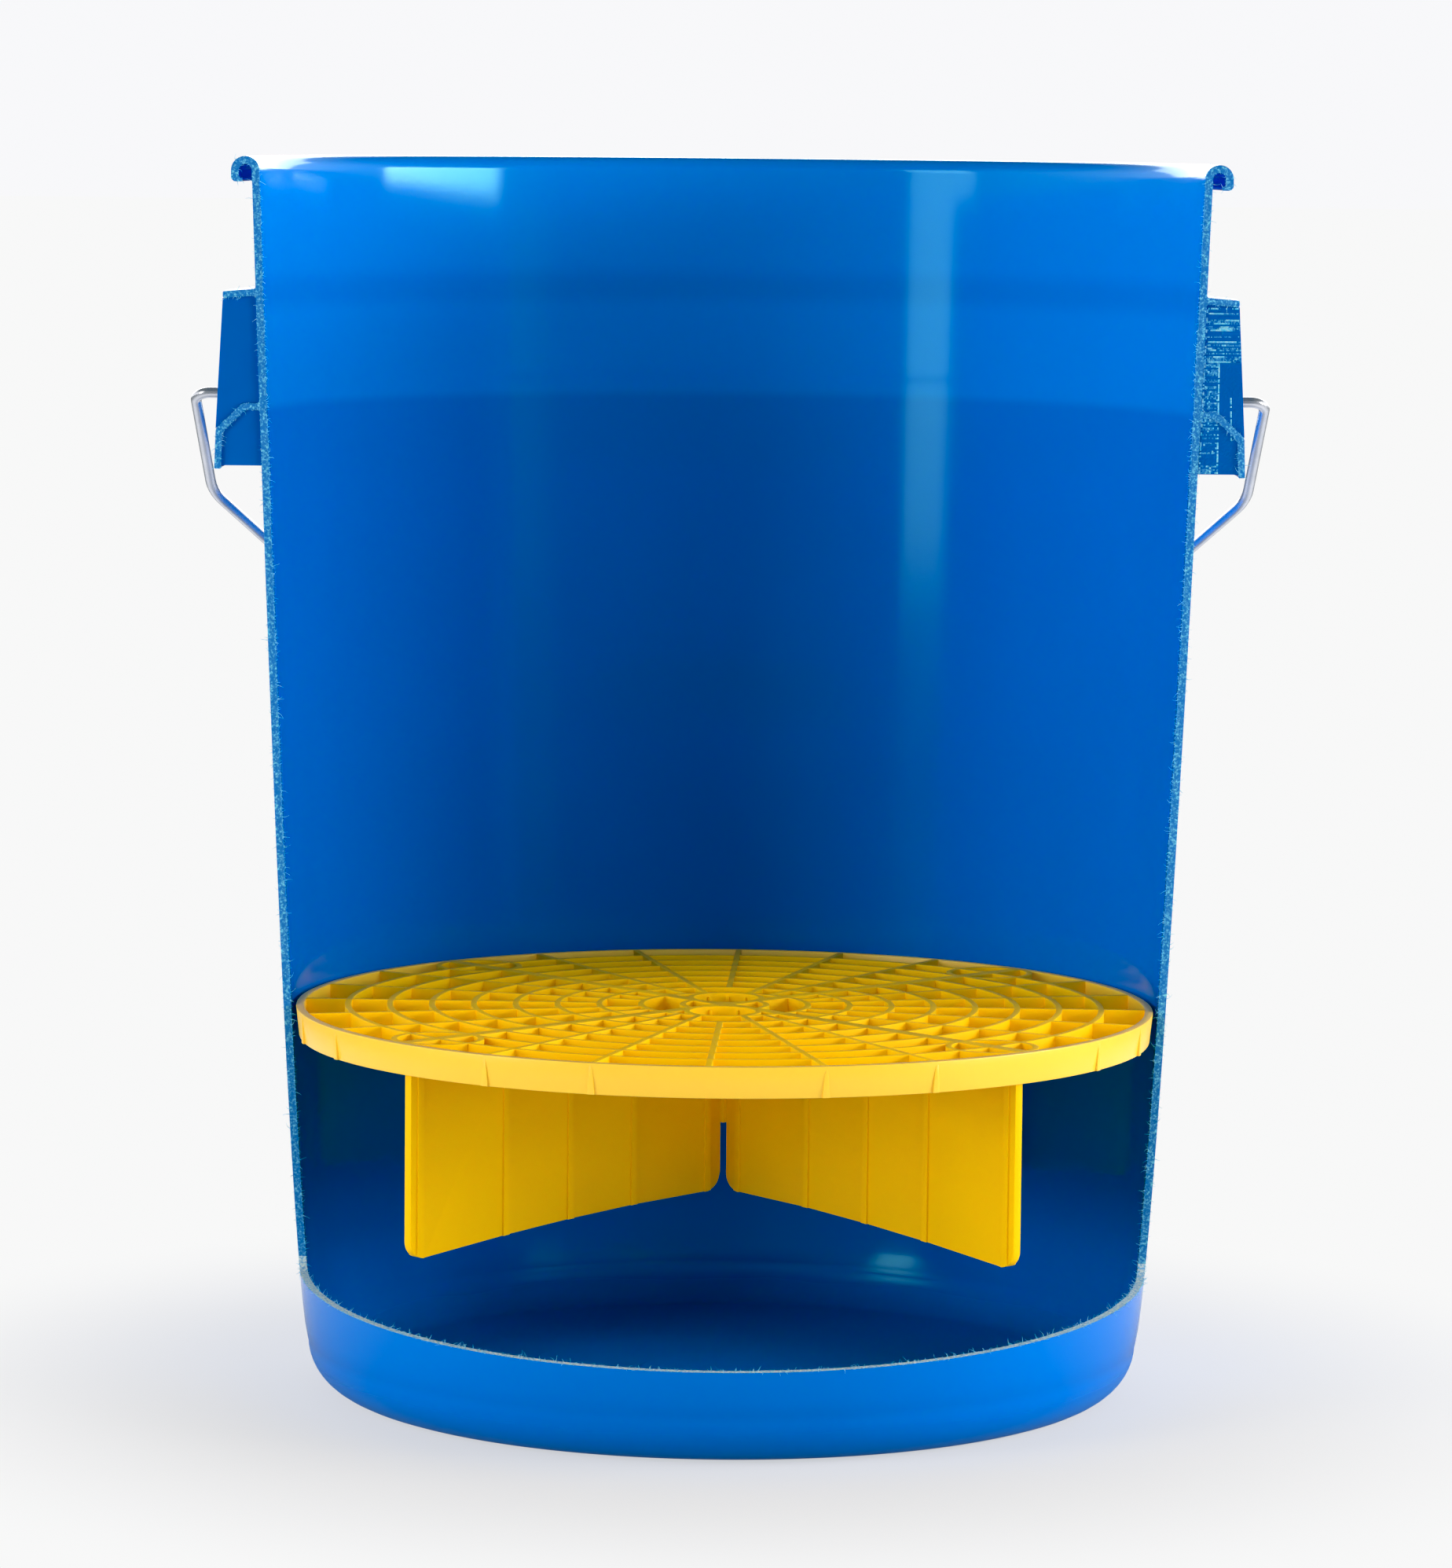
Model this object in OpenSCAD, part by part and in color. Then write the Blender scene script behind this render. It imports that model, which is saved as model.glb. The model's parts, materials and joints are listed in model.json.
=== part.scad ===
// Cut-away wash bucket: a moulded pail with its front sawn out, a wire bail with a roller grip,
// and a grit guard wedged across the inside.
// The origin is on the pail's axis in the plane it stands on. +Z is up, the opening faces -Y
// and the two bail ears are on +X and -X. Millimetres.

/* [Pail] */
// Height from the plane the pail stands on to the top of the rim
pail_h = 372; // [368:1:376]
// Outer radius of the wall just under the rim
wall_top_r = 143.8; // [143.6:0.1:144]
// Outer radius of the wall at the top of the rounded heel
heel_r = 126; // [125.8:0.1:126.2]
// Radius of the rounded heel
heel_round = 15; // [14:0.5:16]
// Thickness of the moulded wall
wall_t = 2.3; // [2.1:0.1:2.5]
// Height of the floor inside, at its edge
floor_top = 3.2; // [3:0.1:3.6]
// Radius at which the flat floor panel meets the heel
floor_r = 104; // [100:1:106]
// Rise of each circular step in the floor
floor_step = 0.4; // [0.2:0.1:0.6]

/* [Saw cut] */
// Y of the upright cut that takes the front half away
cut_y = -9; // [-10:0.1:-8.8]
// Height of the low cut at the very front
cut_front_z = 28.6; // [26:0.2:32]
// Rise of the low cut towards the back, in degrees
cut_tilt = 3.7; // [3:0.1:5]
// Radius of the corner between the two cuts
cut_corner = 8; // [6:1:10]

/* [Rim and bands] */
// Outer radius of the rolled rim
rim_r = 150; // [149.8:0.1:150.2]
// Height of the rolled rim
rim_h = 7.6; // [7.2:0.2:8]
// Height of the handle flange at its edge
flange_z = 331.7; // [330:0.5:334]
// Outer radius of the handle flange
flange_r = 152.4; // [152:0.1:152.8]
// Height of the stacking band's shelf
shelf_z = 298.3; // [298:0.1:298.6]
// Lowest height of the stacking band's skirt
skirt_z = 278.6; // [277:0.2:280]
// Outer radius of the skirt
skirt_r = 154.9; // [154.6:0.1:155]
// Thickness of the flange, the shelf and the skirt
band_t = 2; // [1.8:0.1:2.2]

/* [Bail ears] */
// Height of the bail's pivot
pivot_z = 301; // [300.8:0.1:301.4]
// Distance from the pivot to the outer face of each ear web
ear_half_w = 8.3; // [8:0.1:8.6]
// Thickness of the ear webs and of the ear's face
ear_t = 2.2; // [2:0.1:2.4]

/* [Bail] */
// Diameter of the bail wire
wire_d = 3.2; // [3:0.1:3.4]
// Gap all round between the wire and the holes it turns in
wire_gap = 0.08; // [0.05:0.01:0.1]
// Angle between the hanging bail and straight down, in degrees
bail_tilt = 56.6; // [56.4:0.1:58]
// Distance from the pivot line to the grip's centre line
bail_reach = 177; // [177:0.2:179]
// Length of the grip
grip_l = 90; // [80:1:92]
// Outer diameter of the grip
grip_d = 19; // [18:0.5:19]

/* [Grit guard] */
// Outer diameter of the guard at its top edge
guard_d = 260; // [258:0.5:260]
// Height of the guard's top face above the floor plane
guard_top_z = 116.8; // [116:0.2:120]
// Height of the rim round the guard
guard_rim_h = 9.2; // [9:0.1:10]
// Depth of the bars of the grid
bar_h = 8; // [7:0.5:8.5]
// Width of the rings and of the thin spokes
bar_w = 1.8; // [1.6:0.1:2.2]
// Spacing of the rings
ring_pitch = 12.7; // [12.6:0.05:12.75]
// Width of the four spokes that carry the vanes
vane_bar_w = 4.5; // [4:0.1:5]
// How far the guard is turned in the pail, in degrees
guard_turn = -2; // [-6:1:6]
// Thickness of the vanes
vane_t = 2.8; // [2.4:0.1:3.2]
// Radius of the vanes' outer edge
vane_r = 125.5; // [124:0.5:125.5]
// Top of the slot between the inner edges of the vanes
slot_top_z = 81; // [78:1:84]

/* [Hidden] */
$fn = 96;

blue = [0.02, 0.36, 0.84];
yellow = [0.93, 0.73, 0.12];

// Pail outline
rim_round = (rim_r - wall_top_r + wall_t) / 2;
rim_z = pail_h - rim_round;
wall_rows = 10;
wall_zs = [for (k = [0:wall_rows]) heel_round + (rim_z - heel_round) * pow(k / wall_rows, 1.6)];
floor_step_rs = [88, 60, 25];
heel_in = heel_round - floor_top;
heel_in_x = heel_r - wall_t - heel_in;

// Saw cut
far = 400;
function cut_z(y) = cut_front_z + (y + heel_r) * tan(cut_tilt);
corner_y = cut_y - cut_corner;
corner_z = cut_z(corner_y) + cut_corner / cos(cut_tilt);

// Bail: its corners as [across, away from the pivot line], and the bend radius at each
wire_r = wire_d / 2;
bore_r = wire_r + wire_gap;
wire_end_x = 149.4;
head_r = 2.8;
head_l = 1.8;
pin_end_x = 156;
wire_sides = 12;
bail_half = [[pin_end_x, 0], [161.2, 0], [159.9, 59], [101.1, bail_reach]];
bail_corners = concat(bail_half, [for (k = [3:-1:0]) [-bail_half[k][0], bail_half[k][1]]]);
bail_bends = [0, 4.5, 14, 88, 88, 14, 4.5, 0];
degrees_a_ring = 8;

// Guard
grid_z = guard_top_z - bar_h;
rim_in_r = guard_d / 2 - 2.5;
hub_r = 2 * ring_pitch + bar_w / 2;
boss_at = 9 * ring_pitch;
boss_r = ring_pitch + bar_w / 2;
hole_y = 15;
hole_r = 9.9;
post_r = 2.8;
vane_ribs = [8, 38.1, 63.5, 88.9, 122];

// Outer radius of the pail's wall at a height
function wall_r(z) = heel_r
  + (wall_top_r - heel_r) * pow(max(0, z - heel_round) / (rim_z - heel_round), 2 / 3);

// ---------------------------------------------------------------- pail

module wall_outline() {
  polygon(concat(
    [for (z = wall_zs) [wall_r(z), z]],
    [for (k = [wall_rows:-1:0]) [wall_r(wall_zs[k]) - wall_t, wall_zs[k]]]
  ));
}

module wall_filled() {
  polygon(concat([[0, heel_round]], [for (z = wall_zs) [wall_r(z), z]], [[0, rim_z]]));
}

module heel_outline() {
  difference() {
    intersection() {
      square([heel_r, heel_round]);
      union() {
        square([heel_r - heel_round, heel_round]);
        translate([heel_r - heel_round, heel_round]) circle(heel_round);
      }
    }
    translate([0, floor_top]) square([heel_in_x, heel_round]);
    translate([heel_in_x, heel_round]) circle(heel_in);
    square([floor_r, heel_round]);
  }
}

// Everything under the low cut, which is carried on through the back wall as the joint face
module below_cut() {
  translate([0, -heel_r, cut_front_z]) rotate([cut_tilt, 0, 0])
    translate([-far / 2, -far / 4, -far]) cube([far, far, far]);
}

// What the saw left above the low cut: the back, with a rounded corner at the foot of each edge
module above_cut() {
  steps = 8;
  rotate([90, 0, 90]) translate([0, 0, -far / 2]) linear_extrude(far) polygon(concat(
    [[cut_y, far], [far, far], [far, cut_z(far)]],
    [for (k = [0:steps]) let (turn = (cut_tilt - 90) * (1 - k / steps))
      [corner_y + cut_corner * cos(turn), corner_z + cut_corner * sin(turn)]]
  ));
}

module behind_cut() {
  translate([-far / 2, cut_y, 0]) cube([far, far, far]);
}

module pail_floor() {
  color(blue) {
    cylinder(h = floor_top, r = floor_r);
    for (k = [0:2])
      translate([0, 0, floor_top + k * floor_step]) cylinder(h = floor_step, r = floor_step_rs[k]);
  }
}

module pail_heel() {
  color(blue) intersection() {
    rotate_extrude() {
      heel_outline();
      wall_outline();
    }
    below_cut();
  }
}

module pail_wall() {
  color(blue) intersection() {
    rotate_extrude() wall_outline();
    above_cut();
  }
}

// The wall rolled over and outwards, with its edge turned in
module rim_curl() {
  rim_x = rim_r - rim_round;
  lip = 1.1;
  color(blue) intersection() {
    rotate_extrude() {
      intersection() {
        translate([rim_x, rim_z]) difference() {
          circle(rim_round);
          circle(rim_round - wall_t);
        }
        translate([rim_x - rim_round, rim_z]) square(2 * rim_round);
      }
      translate([rim_r - wall_t, pail_h - rim_h]) square([wall_t, rim_h - rim_round]);
      translate([rim_r - wall_t - lip, pail_h - rim_h]) square([lip, lip]);
    }
    behind_cut();
  }
}

// ---------------------------------------------------------------- flange, band and ears

module flange_outline() {
  root_r = wall_top_r - 6;
  root_z = flange_z + 1.9;
  difference() {
    polygon([[root_r, root_z], [flange_r, flange_z], [flange_r, flange_z - band_t],
             [root_r, root_z - band_t]]);
    wall_filled();
  }
}

// Shelf, slope and skirt
module band_outline() {
  root_r = wall_top_r - 8;
  slope = 7.7;
  difference() {
    polygon([
      [root_r, shelf_z], [skirt_r - 8.4, shelf_z], [skirt_r - 0.4, shelf_z - slope],
      [skirt_r, skirt_z], [skirt_r - band_t, skirt_z], [skirt_r - band_t - 0.4, shelf_z - slope - 0.9],
      [skirt_r - 9.3, shelf_z - band_t], [root_r, shelf_z - band_t]
    ]);
    wall_filled();
  }
}

module handle_flange() {
  color(blue) intersection() {
    rotate_extrude() flange_outline();
    behind_cut();
  }
}

module stacking_band() {
  color(blue) intersection() {
    rotate_extrude() band_outline();
    behind_cut();
  }
}

// Side view of an ear between the wall and its outer face, with the band and the flange left out
module ear_outline(depth) {
  foot_z = skirt_z + 1;
  difference() {
    polygon([
      [skirt_r - depth, foot_z], [skirt_r - 0.1, foot_z], [skirt_r - 0.4, shelf_z - 7.7],
      [flange_r, flange_z - band_t], [flange_r - depth, flange_z]
    ]);
    wall_filled();
    band_outline();
    flange_outline();
    translate([0, flange_z - band_t / 2]) square([far, band_t]);
  }
}

// Two radial webs and an outer face, with the pivot hole through the face
module ear() {
  color(blue) difference() {
    union() {
      for (side = [-1, 1]) intersection() {
        rotate_extrude() ear_outline(20);
        translate([0, side * (ear_half_w - ear_t / 2), pivot_z]) cube([far, ear_t, far], center = true);
      }
      intersection() {
        rotate_extrude() ear_outline(ear_t);
        translate([0, 0, shelf_z - 7.7 + far / 2])
          cube([far, 2 * ear_half_w - 2 * ear_t, far], center = true);
      }
    }
    translate([-far, -far / 2, 0]) cube([far, far, far]);
    translate([far / 4, 0, pivot_z]) rotate([0, 90, 0]) cylinder(h = far / 2, r = bore_r, center = true);
  }
}

module ear_right() {
  ear();
}

module ear_left() {
  mirror([1, 0, 0]) ear();
}

// ---------------------------------------------------------------- bail

function unit(v) = v / norm(v);

function turn_at(k) = let (a = bail_corners[k] - bail_corners[k - 1], b = bail_corners[k + 1] - bail_corners[k])
  acos(unit(a) * unit(b));

// Rings round the bend at a corner, each as [centre, direction of the wire's outer side]
function bend_rings(k) = let (
    back = unit(bail_corners[k - 1] - bail_corners[k]),
    on = unit(bail_corners[k + 1] - bail_corners[k]),
    bend = bail_bends[k],
    turn = turn_at(k),
    centre = bail_corners[k] + unit(back + on) * bend / cos(turn / 2),
    start = bail_corners[k] + back * bend * tan(turn / 2) - centre,
    steps = ceil(turn / degrees_a_ring)
  )
  [for (j = [0:steps]) let (a = atan2(start[1], start[0]) + turn * j / steps)
    [centre + bend * [cos(a), sin(a)], a]];

// The bent wire between its two straight ends
module wire_bow() {
  rings = concat(
    [[bail_corners[0], -90]],
    [for (k = [1:6]) each bend_rings(k)],
    [[bail_corners[7], -90]]
  );
  last = len(rings) - 1;
  points = [for (ring = rings, j = [0:wire_sides - 1]) let (a = 360 * j / wire_sides)
    [ring[0][0] + wire_r * cos(a) * cos(ring[1]), ring[0][1] + wire_r * cos(a) * sin(ring[1]),
     wire_r * sin(a)]];
  sides = [for (i = [0:last - 1], j = [0:wire_sides - 1]) let (next = (j + 1) % wire_sides)
    [i * wire_sides + next, i * wire_sides + j, (i + 1) * wire_sides + j, (i + 1) * wire_sides + next]];
  ends = [
    [for (j = [0:wire_sides - 1]) j],
    [for (j = [wire_sides - 1:-1:0]) last * wire_sides + j]
  ];
  polyhedron(points, concat(sides, ends));
}

// Puts what is drawn flat, with Y away from the pivot line, where the hanging bail is
module hang() {
  translate([0, 0, pivot_z]) rotate([bail_tilt - 90, 0, 0]) children();
}

module bail_wire() {
  color("silver") hang() wire_bow();
}

// Straight end of the wire, which turns in its ear, with an upset head that keeps it there
module bail_end() {
  color("silver") hang() translate([wire_end_x, 0, 0]) rotate([0, 90, 0]) {
    cylinder(h = pin_end_x - wire_end_x, r = wire_r);
    cylinder(h = head_l, r = head_r);
  }
}

module bail_end_right() {
  bail_end();
}

module bail_end_left() {
  mirror([1, 0, 0]) bail_end();
}

// Roller grip with turned-down grooves, bored to spin on the wire
module bail_grip() {
  grooves = 6;
  groove_w = 3;
  groove_d = 1.2;
  chamfer = 1.5;
  half = grip_l / 2;
  grip_r = grip_d / 2;
  color([0.08, 0.08, 0.09]) hang() translate([0, bail_reach, 0]) rotate([0, 90, 0]) rotate_extrude()
    difference() {
      polygon([
        [bore_r, -half], [grip_r - chamfer, -half], [grip_r, chamfer - half],
        [grip_r, half - chamfer], [grip_r - chamfer, half], [bore_r, half]
      ]);
      for (k = [0:grooves - 1])
        translate([grip_r - groove_d, (k - (grooves - 1) / 2) * 13 - groove_w / 2])
          square([2 * groove_d, groove_w]);
    }
}

// ---------------------------------------------------------------- grit guard

module ring_2d(k) {
  difference() {
    circle(k * ring_pitch + bar_w / 2);
    circle(k * ring_pitch - bar_w / 2);
  }
}

module bar_2d(turn, from, to, w) {
  rotate(turn) translate([from, -w / 2]) square([to - from, w]);
}

// Top view of one vane's spoke: its bar, the round boss at its end and the ring that crosses it
module vane_spoke_2d() {
  intersection() {
    circle(rim_in_r);
    union() {
      bar_2d(0, hub_r, rim_in_r, vane_bar_w);
      translate([boss_at, 0]) difference() {
        circle(boss_r);
        circle(boss_r - bar_w);
      }
      intersection() {
        ring_2d(9);
        translate([boss_at, 0]) circle(boss_r);
      }
    }
  }
}

// A quarter of the grid, between two vane spokes, centred on +X
module grid_quarter_2d() {
  difference() {
    intersection() {
      rotate(-45) square([rim_in_r, rim_in_r]);
      circle(rim_in_r);
      union() {
        for (k = [3:9]) ring_2d(k);
        bar_2d(0, 3 * ring_pitch, far, bar_w);
        for (turn = [-30, -15, 15, 30]) bar_2d(turn, 1, far, bar_w);
      }
    }
    circle(hub_r);
    for (turn = [-45, 45]) rotate(turn) {
      bar_2d(0, 0, far, vane_bar_w);
      translate([boss_at, 0]) circle(boss_r);
    }
  }
}

module grid_quarter(turn) {
  color(yellow) rotate(turn + guard_turn) translate([0, 0, grid_z]) linear_extrude(bar_h)
    grid_quarter_2d();
}

module grid_right() {
  grid_quarter(0);
}

module grid_back() {
  grid_quarter(90);
}

module grid_left() {
  grid_quarter(180);
}

module grid_front() {
  grid_quarter(-90);
}

// Upright rim, drawn in a little at its lower edge
module guard_rim() {
  draft = 1;
  color(yellow) translate([0, 0, guard_top_z - guard_rim_h]) rotate_extrude()
    polygon([[rim_in_r, 0], [guard_d / 2 - draft, 0], [guard_d / 2, guard_rim_h],
             [rim_in_r, guard_rim_h]]);
}

// The two inner rings, the crossing of the vane spokes with the post under it, and two finger holes
module guard_hub() {
  color(yellow) rotate(guard_turn) {
    translate([0, 0, grid_z]) linear_extrude(bar_h) difference() {
      intersection() {
        circle(hub_r);
        union() {
          ring_2d(1);
          ring_2d(2);
          for (turn = [45, 135]) bar_2d(turn, -hub_r, hub_r, vane_bar_w);
          for (side = [-1, 1]) translate([0, side * hole_y]) circle(hole_r + bar_w);
        }
      }
      for (side = [-1, 1]) translate([0, side * hole_y]) circle(hole_r);
    }
    rotate(45) translate([-post_r, -post_r, slot_top_z])
      cube([2 * post_r, 2 * post_r, grid_z - slot_top_z]);
  }
}

// Side view of a vane below the grid, as [distance from the axis, height]
module blade_outline() {
  slot_flare = 5;
  corner = 5;
  flare_z = 60.5;
  foot_z = 52.8;
  difference() {
    union() {
      polygon([
        [post_r, grid_z], [post_r, flare_z], [38, 59.5], [64, 58], [89, 56],
        [vane_r - corner, foot_z], [vane_r, foot_z + corner], [vane_r, grid_z]
      ]);
      translate([vane_r - corner, foot_z + corner]) circle(corner);
    }
    difference() {
      translate([post_r - 1, flare_z - 1]) square(slot_flare + 1);
      translate([post_r + slot_flare, flare_z + slot_flare]) circle(slot_flare);
    }
  }
}

module vane(turn) {
  rib = 0.6;
  rib_w = 2.4;
  color(yellow) rotate(turn + guard_turn) {
    translate([0, 0, grid_z]) linear_extrude(bar_h) vane_spoke_2d();
    rotate([90, 0, 0]) {
      translate([0, 0, -vane_t / 2]) linear_extrude(vane_t) blade_outline();
      translate([0, 0, -vane_t / 2 - rib]) linear_extrude(vane_t + 2 * rib) intersection() {
        blade_outline();
        for (r = vane_ribs) translate([r - rib_w / 2, 0]) square([rib_w, grid_z]);
      }
    }
  }
}

module vane_front_right() {
  vane(-45);
}

module vane_back_right() {
  vane(45);
}

module vane_back_left() {
  vane(135);
}

module vane_front_left() {
  vane(225);
}

pail_floor();
pail_heel();
pail_wall();
rim_curl();
handle_flange();
stacking_band();
ear_left();
ear_right();
bail_wire();
bail_end_left();
bail_end_right();
bail_grip();
guard_rim();
guard_hub();
grid_front();
grid_right();
grid_back();
grid_left();
vane_front_left();
vane_front_right();
vane_back_left();
vane_back_right();
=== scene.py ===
import json
import math
import random

import bmesh
import bpy
from mathutils import Matrix, Vector

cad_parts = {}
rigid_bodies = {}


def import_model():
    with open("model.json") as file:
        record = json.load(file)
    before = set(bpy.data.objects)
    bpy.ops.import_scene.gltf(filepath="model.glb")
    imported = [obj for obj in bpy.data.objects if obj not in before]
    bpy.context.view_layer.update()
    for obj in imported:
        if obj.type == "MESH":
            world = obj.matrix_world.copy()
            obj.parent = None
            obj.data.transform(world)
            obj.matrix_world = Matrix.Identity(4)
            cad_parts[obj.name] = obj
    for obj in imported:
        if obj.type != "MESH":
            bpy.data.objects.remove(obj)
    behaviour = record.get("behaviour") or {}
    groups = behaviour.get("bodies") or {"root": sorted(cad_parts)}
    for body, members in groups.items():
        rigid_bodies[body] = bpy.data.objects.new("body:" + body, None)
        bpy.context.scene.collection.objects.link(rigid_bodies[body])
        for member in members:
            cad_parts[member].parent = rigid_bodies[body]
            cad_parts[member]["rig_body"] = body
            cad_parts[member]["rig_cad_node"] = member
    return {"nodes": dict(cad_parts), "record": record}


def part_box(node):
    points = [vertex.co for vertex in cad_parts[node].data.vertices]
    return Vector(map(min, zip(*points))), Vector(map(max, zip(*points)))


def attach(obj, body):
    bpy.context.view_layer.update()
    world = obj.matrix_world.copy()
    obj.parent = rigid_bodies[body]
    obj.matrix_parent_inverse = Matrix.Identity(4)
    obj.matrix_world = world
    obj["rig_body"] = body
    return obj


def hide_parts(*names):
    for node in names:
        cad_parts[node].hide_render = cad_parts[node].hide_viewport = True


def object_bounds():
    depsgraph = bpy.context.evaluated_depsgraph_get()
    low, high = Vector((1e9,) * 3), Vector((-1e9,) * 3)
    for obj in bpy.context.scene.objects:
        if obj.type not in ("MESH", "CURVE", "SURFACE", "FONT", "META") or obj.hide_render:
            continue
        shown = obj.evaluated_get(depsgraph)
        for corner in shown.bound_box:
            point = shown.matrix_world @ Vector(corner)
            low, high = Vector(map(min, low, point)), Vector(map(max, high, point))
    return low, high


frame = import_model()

cad_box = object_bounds()
mm = 0.001


# ---------------------------------------------------------------- studio
# The pail stands on a white paper sweep. Two strips at the front left and a wide softbox at the
# right shape the gloss inside it. The panels that aren't mirrored only even out the light, and
# the last two light nothing but the grit guard.

bpy.ops.object.camera_add(location=(-0.0002, -1.9035, 0.3821))
camera = bpy.context.object
camera.name = "studio_camera"
camera.data.lens = 145.1
camera.data.sensor_width = 36
look_down = Matrix.Rotation(math.radians(84.06), 3, "X")
horizon_lean = Matrix.Rotation(math.radians(0.543), 3, "Z")
camera.rotation_euler = (look_down @ horizon_lean).to_euler()
bpy.context.scene.camera = camera
view = bpy.context.scene.view_settings
view.view_transform = "Standard"
view.use_curve_mapping = True
view.curve_mapping.black_level = (0.02, 0, 0)
view.curve_mapping.update()


def light_panel(name, place, aim, width, height, brightness, mirrored=True):
    """A softbox at place that faces aim, with an even brightness over its face (white paper is 1).
    One that isn't mirrored gives light but no highlight, as if it were polarised."""
    bpy.ops.object.light_add(type="AREA", location=place)
    lamp = bpy.context.object
    lamp.name = name
    lamp.rotation_euler = (Vector(aim) - Vector(place)).to_track_quat("-Z", "Y").to_euler()
    lamp.data.shape = "RECTANGLE"
    lamp.data.size = width
    lamp.data.size_y = height
    lamp.data.energy = brightness * math.pi * width * height
    lamp.visible_glossy = mirrored
    return lamp


def linear(code):
    """An sRGB hex colour as the linear colour that Blender works in."""
    parts = [int(code[k:k + 2], 16) / 255 for k in (1, 3, 5)]
    return [c / 12.92 if c <= 0.04045 else ((c + 0.055) / 1.055) ** 2.4 for c in parts] + [1.0]


def put(tree, kind, inputs=None, **settings):
    """Adds a node. inputs holds a value or another node's output for each socket that it names."""
    node = tree.nodes.new(kind)
    for name, value in settings.items():
        setattr(node, name, value)
    for name, value in (inputs or {}).items():
        if isinstance(value, bpy.types.NodeSocket):
            tree.links.new(value, node.inputs[name])
        else:
            node.inputs[name].default_value = value
    return node


light_panel("strip_front_left", (-1.575, -1.02, 0.43), (0.06, 0.12, 0.2), 0.62, 0.38, 3)
light_panel("strip_front_left_high", (-1.575, -1.02, 0.95), (0.06, 0.12, 0.4), 0.62, 0.66, 4.5)
light_panel("panel_right", (1.5, -0.18, 0.53), (-0.1, 0.1, 0.4), 1.02, 0.37, 13)
light_panel("low_left", (-1.55, -0.8, 0.3), (0, 0, 0.15), 0.9, 0.5, 5.5, mirrored=False)
light_panel("low_right", (1.55, -0.8, 0.3), (0, 0, 0.15), 0.9, 0.5, 5.6, mirrored=False)
light_panel("low_front", (-0.6, -1.85, 0.12), (0.03, 0.1, 0.1), 0.9, 0.5, 2.2, mirrored=False)
light_panel("high_left", (-1.4, -0.7, 1.0), (0, 0, 0.1), 0.8, 0.6, 1.5, mirrored=False)
light_panel("high_right", (1.4, -0.7, 1.0), (0, 0, 0.1), 0.8, 0.6, 1, mirrored=False)
light_panel("panel_behind", (0, 1.7, 0.8), (0, 0, 0.3), 2.4, 0.8, 3)
guard_light = light_panel("guard_light", (0.15, -1.8, 0.45), (0, 0, 0.12), 1.2, 0.6, 1.2, mirrored=False)
grid_light = light_panel("grid_light", (0.1, -0.9, 1.4), (0, 0, 0.12), 1.0, 0.8, 1.6, mirrored=False)

# The studio is dark behind the camera and white round the sides and the back.
world = bpy.data.worlds.new("white_studio")
bpy.context.scene.world = world
world.use_nodes = True
tree = world.node_tree
tree.nodes.clear()
way = put(tree, "ShaderNodeTexCoord").outputs["Generated"]
way = put(tree, "ShaderNodeSeparateXYZ", {"Vector": way})
round_it = put(tree, "ShaderNodeMapRange", {0: way.outputs["Y"], 1: -0.7, 2: -0.2, 3: 0.25, 4: 1.25})
above = put(tree, "ShaderNodeMapRange", {0: way.outputs["Z"], 1: 0.3, 2: 0.65, 3: 1.0, 4: 0.05})
share = put(tree, "ShaderNodeMath", {0: round_it.outputs[0], 1: above.outputs[0]}, operation="MULTIPLY")
seen = put(tree, "ShaderNodeBackground", {"Color": linear("#F8F8FA"), "Strength": 1.0})
fill = put(tree, "ShaderNodeBackground", {"Color": linear("#FFFFFF"), "Strength": share.outputs[0]})
path = put(tree, "ShaderNodeLightPath")
both = put(tree, "ShaderNodeMixShader", {
    0: path.outputs["Is Camera Ray"], 1: fill.outputs[0], 2: seen.outputs[0]})
put(tree, "ShaderNodeOutputWorld", {"Surface": both.outputs[0]})

bpy.ops.mesh.primitive_plane_add(size=60, location=(0, 0, cad_box[0][2]))
sweep = bpy.context.object
sweep.name = "paper_sweep"
paper = bpy.data.materials.new("matt_white_paper")
paper.use_nodes = True
tree = paper.node_tree
tree.nodes.clear()
# Near the pail the paper takes its shadow and lights it from below. Further out it is evenly
# white to look at, but the dark half of the room is over it, so it lights the pail no more.
place = put(tree, "ShaderNodeTexCoord").outputs["Object"]
reach_out = put(tree, "ShaderNodeVectorMath", {0: place}, operation="LENGTH").outputs["Value"]
far_off = put(tree, "ShaderNodeMapRange", {0: reach_out, 1: 0.13, 2: 0.3}, interpolation_type="SMOOTHSTEP")
matt = put(tree, "ShaderNodeBsdfDiffuse", {"Color": linear("#959597")})
glow = put(tree, "ShaderNodeEmission", {"Color": linear("#F8F8F9"), "Strength": 0.6})
near = put(tree, "ShaderNodeAddShader", {0: matt.outputs[0], 1: glow.outputs[0]})
white = put(tree, "ShaderNodeEmission", {"Color": linear("#F8F8F8"), "Strength": 1.0})
shown = put(tree, "ShaderNodeMixShader", {0: far_off.outputs[0], 1: near.outputs[0], 2: white.outputs[0]})
rise = put(tree, "ShaderNodeMapRange", {0: reach_out, 1: 0.14, 2: 0.3, 3: 0.1, 4: 0.8})
fade = put(tree, "ShaderNodeMapRange", {0: reach_out, 1: 0.4, 2: 0.9, 3: 1.0, 4: 0.0})
share = put(tree, "ShaderNodeMath", {0: rise.outputs[0], 1: fade.outputs[0]}, operation="MULTIPLY")
bounce = put(tree, "ShaderNodeEmission", {"Color": linear("#FFFFFF"), "Strength": share.outputs[0]})
lit = put(tree, "ShaderNodeAddShader", {0: matt.outputs[0], 1: bounce.outputs[0]})
path = put(tree, "ShaderNodeLightPath")
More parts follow.
